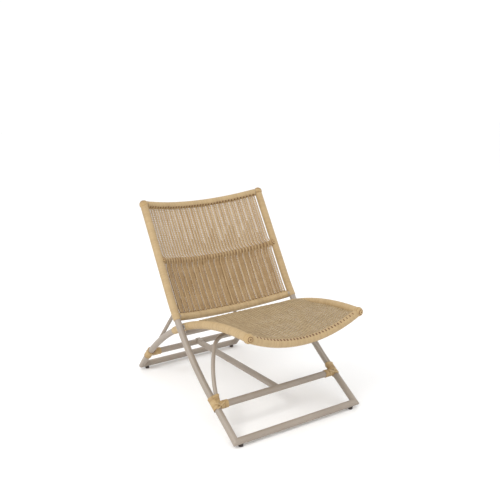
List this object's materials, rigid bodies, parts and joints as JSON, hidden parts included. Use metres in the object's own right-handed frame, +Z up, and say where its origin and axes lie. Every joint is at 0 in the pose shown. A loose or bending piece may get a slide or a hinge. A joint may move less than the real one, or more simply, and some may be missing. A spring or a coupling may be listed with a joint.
{
  "type": "folding lounge chair",
  "caption": "Low lounge chair on two crossed bent-tube frames that fold on side pivots, with woven wicker seat and back, wicker-wound rails and arched tube braces.",
  "frame": {"origin": "centre of the chair on the floor, under the middle of its bounding box", "axes": "+X across the chair to the sitter's left, -Y towards the front of the seat, +Z up"},
  "size_m": [0.571, 0.8685, 0.7644],
  "materials": {
    "frame": "taupe powder coat, satin",
    "wicker": "honey synthetic wicker, wound",
    "weave": "honey synthetic wicker, woven",
    "glide": "dark brown moulded plastic",
    "steel": "plain stainless"
  },
  "bodies": {
    "outer_frame": {"outer_side_tube_left": "frame", "outer_side_tube_right": "frame", "front_floor_bar": "frame", "front_stretcher": "frame", "front_hoop": "frame", "front_glides": "glide", "centre_stay": "frame", "stay_catch": "frame", "front_binding_left": "wicker", "front_binding_right": "wicker", "upright_wrap_left": "wicker", "upright_wrap_right": "wicker", "top_rail_tube": "frame", "mid_rail_tube": "frame", "bottom_rail_tube": "frame", "top_rail_wrap": "wicker", "mid_rail_wrap": "wicker", "bottom_rail_wrap": "wicker", "top_corner_wrap_left": "wicker", "top_corner_wrap_right": "wicker", "back_panel_upper": "weave", "back_panel_lower": "weave", "pivot_pin_left": "steel", "pivot_pin_right": "steel", "pivot_spacer_left": "steel", "pivot_spacer_right": "steel"},
    "inner_frame": {"inner_side_tube_left": "frame", "inner_side_tube_right": "frame", "rear_floor_bar": "frame", "rear_stretcher": "frame", "rear_hoop": "frame", "rear_glides": "glide", "cross_tube": "frame", "seat_front_rail_tube": "frame", "seat_rear_rail_tube": "frame", "seat_side_wrap_left": "wicker", "seat_side_wrap_right": "wicker", "seat_front_rail_wrap": "wicker", "seat_rear_rail_wrap": "wicker", "seat_corner_wrap_left": "wicker", "seat_corner_wrap_right": "wicker", "seat_panel": "weave", "rear_binding_left": "wicker", "rear_binding_right": "wicker"}
  },
  "joints": [
    {"name": "fold", "type": "hinge", "parent": "outer_frame", "child": "inner_frame", "pos_m": [0, 0.002, 0.3192], "axis": [-1, 0, 0], "range_deg": [0, 70]}
  ]
}
